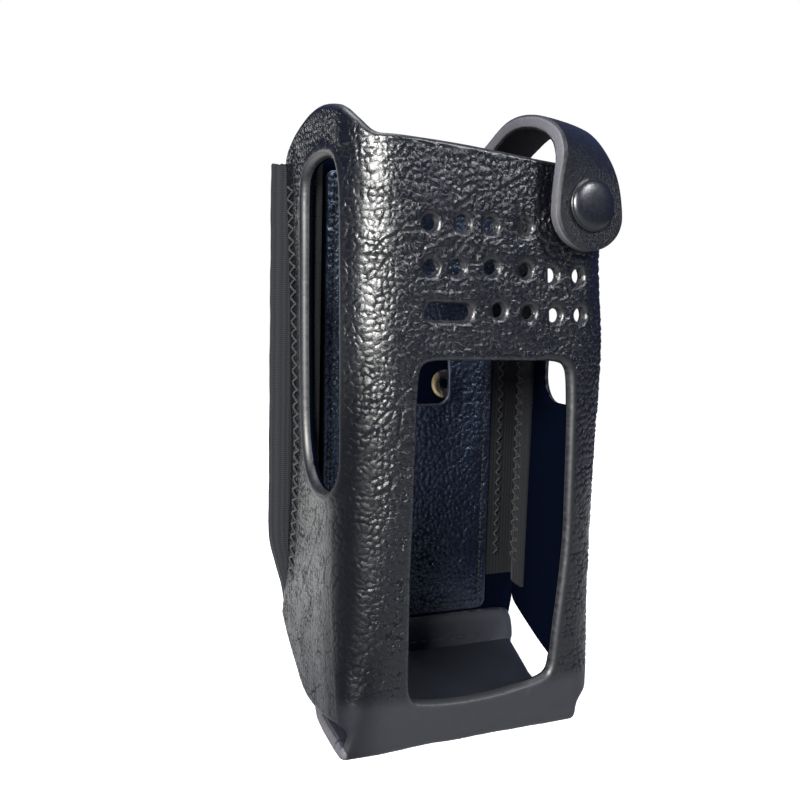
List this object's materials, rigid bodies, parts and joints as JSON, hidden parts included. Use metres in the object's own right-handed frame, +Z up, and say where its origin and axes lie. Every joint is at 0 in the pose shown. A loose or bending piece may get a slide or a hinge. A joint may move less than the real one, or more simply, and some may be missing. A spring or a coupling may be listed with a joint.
{
  "type": "hand-held radio carry case",
  "caption": "Black pebbled-leather carry case for a hand-held two-way radio, with a display window, speaker holes, elastic gussets, a snap retaining strap and a swivelling belt loop.",
  "frame": {"origin": "on the ground under the middle of the case's footprint, midway between the window's sides", "axes": "+Z up, -Y out of the front face with the window, +X to the wearer's view's right when facing the window"},
  "size_m": [0.076, 0.0792, 0.1452],
  "materials": {
    "pebbled_leather": "pebble-grained, semi-gloss",
    "strap_leather": "fine-grained, satin, with grey burnished cut edges",
    "elastic_webbing": "ribbed woven elastic, matte",
    "thread": "twisted bonded thread",
    "black_lacquered_metal": "black lacquer, satin",
    "black_plastic": "moulded, satin",
    "brass": "dull brass"
  },
  "bodies": {
    "case": {"main_shell": "pebbled_leather", "back_panel": "pebbled_leather", "back_liner": "pebbled_leather", "left_elastic_gusset": "elastic_webbing", "right_elastic_gusset": "elastic_webbing", "left_gusset_zigzag": "thread", "right_gusset_zigzag": "thread", "left_panel_stitch": "thread", "right_panel_stitch": "thread", "bottom_flap_stitch": "thread", "liner_stitch": "thread", "strap_root": "strap_leather", "strap_root_stitch": "thread", "snap_stud": "black_lacquered_metal", "snap_eyelet": "black_lacquered_metal", "swivel_plate": "black_lacquered_metal", "plate_rivets": "brass", "swivel_button": "black_lacquered_metal"},
    "strap_arch": {"strap_arch": "strap_leather"},
    "strap_tip": {"strap_tip": "strap_leather", "snap_cap": "black_lacquered_metal", "snap_socket": "black_lacquered_metal"},
    "belt_loop": {"loop_hub": "black_plastic", "loop_leather": "strap_leather", "loop_rivets": "black_lacquered_metal", "loop_stitch": "thread"}
  },
  "joints": [
    {"name": "strap_lift", "type": "hinge", "parent": "case", "child": "strap_arch", "pos_m": [0.02, 0.0288, 0.1335], "axis": [-1, 0, 0], "range_deg": [0, 75]},
    {"name": "strap_tip_bend", "type": "hinge", "parent": "strap_arch", "child": "strap_tip", "pos_m": [0.02, -0.0276, 0.1346], "axis": [-1, 0, 0], "range_deg": [0, 90]},
    {"name": "belt_loop_swivel", "type": "hinge", "parent": "case", "child": "belt_loop", "pos_m": [0, 0.0323, 0.0885], "axis": [0, 1, 0], "continuous": true}
  ],
  "couplings": [
    {"joint": "strap_tip_bend", "follows": "strap_lift", "ratio": 1.2}
  ]
}
